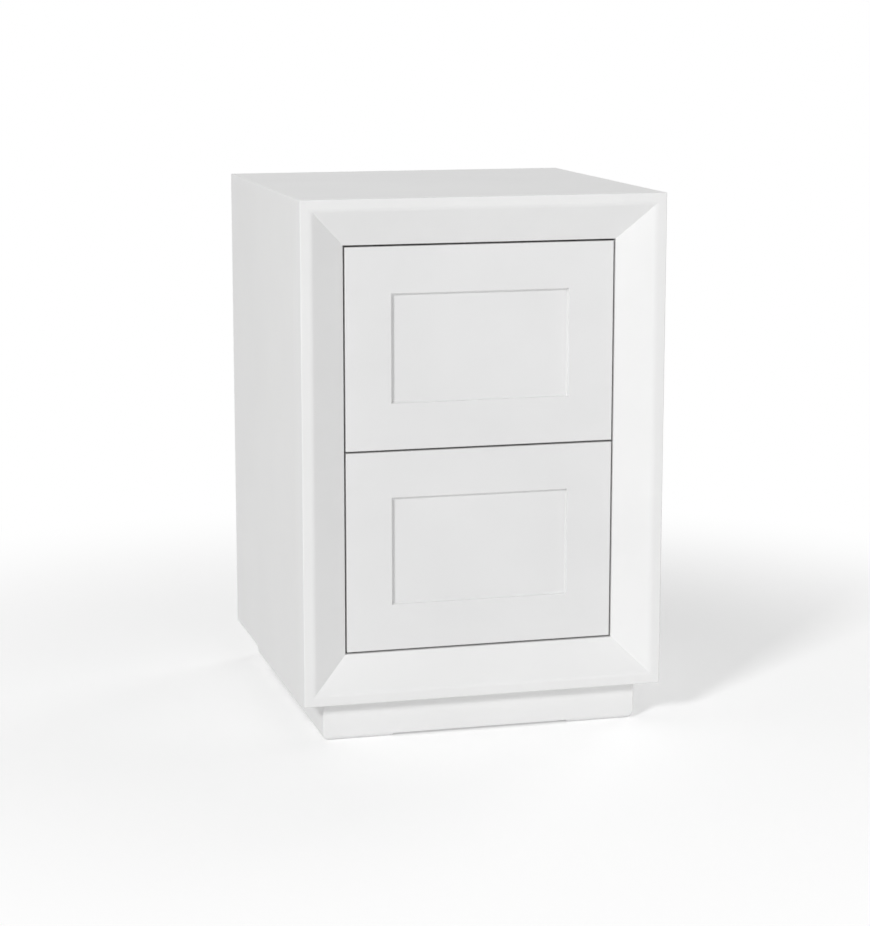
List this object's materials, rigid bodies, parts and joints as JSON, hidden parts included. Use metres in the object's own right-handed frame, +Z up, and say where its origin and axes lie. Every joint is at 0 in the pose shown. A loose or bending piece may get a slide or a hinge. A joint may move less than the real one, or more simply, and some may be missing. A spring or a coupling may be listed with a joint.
{
  "type": "filing cabinet",
  "caption": "White lacquered filing cabinet: drawers with recessed panels behind a bevelled face frame slide out on ball runners and carry rails for hanging files.",
  "frame": {"origin": "on the floor, under the middle of the cabinet", "axes": "+Z up, +Y towards the back (the drawers open towards -Y), +X to the right as seen from the front"},
  "size_m": [0.48, 0.475, 0.7],
  "materials": {
    "white_lacquer": "satin white lacquer on fibreboard",
    "raw_board": "unpainted fibreboard",
    "birch_plywood": "clear-varnished birch plywood",
    "zinc_plated_steel": "bright zinc plating",
    "grey_nylon": "moulded nylon"
  },
  "bodies": {
    "cabinet": {"top_panel": "white_lacquer", "bottom_panel": "white_lacquer", "side_panel_left": "white_lacquer", "side_panel_right": "white_lacquer", "back_panel": "white_lacquer", "face_frame_top_rail": "white_lacquer", "face_frame_bottom_rail": "white_lacquer", "face_frame_left_stile": "white_lacquer", "face_frame_right_stile": "white_lacquer", "plinth_front": "white_lacquer", "plinth_back": "white_lacquer", "plinth_left": "white_lacquer", "plinth_right": "white_lacquer", "plinth_block_front_left": "raw_board", "plinth_block_front_right": "raw_board", "plinth_block_back_left": "raw_board", "plinth_block_back_right": "raw_board", "lower_drawer_packer_left": "raw_board", "lower_drawer_packer_right": "raw_board", "lower_drawer_cabinet_member_left": "zinc_plated_steel", "lower_drawer_cabinet_member_right": "zinc_plated_steel", "lower_drawer_latch_housing": "grey_nylon", "lower_drawer_latch_spring": "zinc_plated_steel", "upper_drawer_packer_left": "raw_board", "upper_drawer_packer_right": "raw_board", "upper_drawer_cabinet_member_left": "zinc_plated_steel", "upper_drawer_cabinet_member_right": "zinc_plated_steel", "upper_drawer_latch_housing": "grey_nylon", "upper_drawer_latch_spring": "zinc_plated_steel"},
    "lower_drawer": {"lower_drawer_front": "white_lacquer", "lower_drawer_box_left": "birch_plywood", "lower_drawer_box_right": "birch_plywood", "lower_drawer_box_front": "birch_plywood", "lower_drawer_box_back": "birch_plywood", "lower_drawer_box_bottom": "birch_plywood", "lower_drawer_file_rail_front": "zinc_plated_steel", "lower_drawer_file_rail_back": "zinc_plated_steel", "lower_drawer_front_screw_left": "zinc_plated_steel", "lower_drawer_front_screw_right": "zinc_plated_steel", "lower_drawer_drawer_member_left": "zinc_plated_steel", "lower_drawer_drawer_member_right": "zinc_plated_steel"},
    "lower_drawer_carriages": {"lower_drawer_carriage_left": "zinc_plated_steel", "lower_drawer_carriage_right": "zinc_plated_steel"},
    "lower_drawer_latch_plunger": {"lower_drawer_latch_plunger": "grey_nylon"},
    "upper_drawer": {"upper_drawer_front": "white_lacquer", "upper_drawer_box_left": "birch_plywood", "upper_drawer_box_right": "birch_plywood", "upper_drawer_box_front": "birch_plywood", "upper_drawer_box_back": "birch_plywood", "upper_drawer_box_bottom": "birch_plywood", "upper_drawer_file_rail_front": "zinc_plated_steel", "upper_drawer_file_rail_back": "zinc_plated_steel", "upper_drawer_front_screw_left": "zinc_plated_steel", "upper_drawer_front_screw_right": "zinc_plated_steel", "upper_drawer_drawer_member_left": "zinc_plated_steel", "upper_drawer_drawer_member_right": "zinc_plated_steel"},
    "upper_drawer_carriages": {"upper_drawer_carriage_left": "zinc_plated_steel", "upper_drawer_carriage_right": "zinc_plated_steel"},
    "upper_drawer_latch_plunger": {"upper_drawer_latch_plunger": "grey_nylon"}
  },
  "joints": [
    {"name": "lower_drawer_slide", "type": "slide", "parent": "cabinet", "child": "lower_drawer", "axis": [0, -1, 0], "range_m": [0, 0.37]},
    {"name": "lower_drawer_carriage_slide", "type": "slide", "parent": "cabinet", "child": "lower_drawer_carriages", "axis": [0, -1, 0], "range_m": [0, 0.185]},
    {"name": "lower_drawer_latch_press", "type": "slide", "parent": "cabinet", "child": "lower_drawer_latch_plunger", "axis": [0, 1, 0], "range_m": [0, 0.003], "stiffness_N_per_m": 400, "deforming": ["lower_drawer_latch_spring"]},
    {"name": "upper_drawer_slide", "type": "slide", "parent": "cabinet", "child": "upper_drawer", "axis": [0, -1, 0], "range_m": [0, 0.37]},
    {"name": "upper_drawer_carriage_slide", "type": "slide", "parent": "cabinet", "child": "upper_drawer_carriages", "axis": [0, -1, 0], "range_m": [0, 0.185]},
    {"name": "upper_drawer_latch_press", "type": "slide", "parent": "cabinet", "child": "upper_drawer_latch_plunger", "axis": [0, 1, 0], "range_m": [0, 0.003], "stiffness_N_per_m": 400, "deforming": ["upper_drawer_latch_spring"]}
  ],
  "couplings": [
    {"joint": "lower_drawer_carriage_slide", "follows": "lower_drawer_slide", "ratio": 0.5},
    {"joint": "upper_drawer_carriage_slide", "follows": "upper_drawer_slide", "ratio": 0.5}
  ]
}
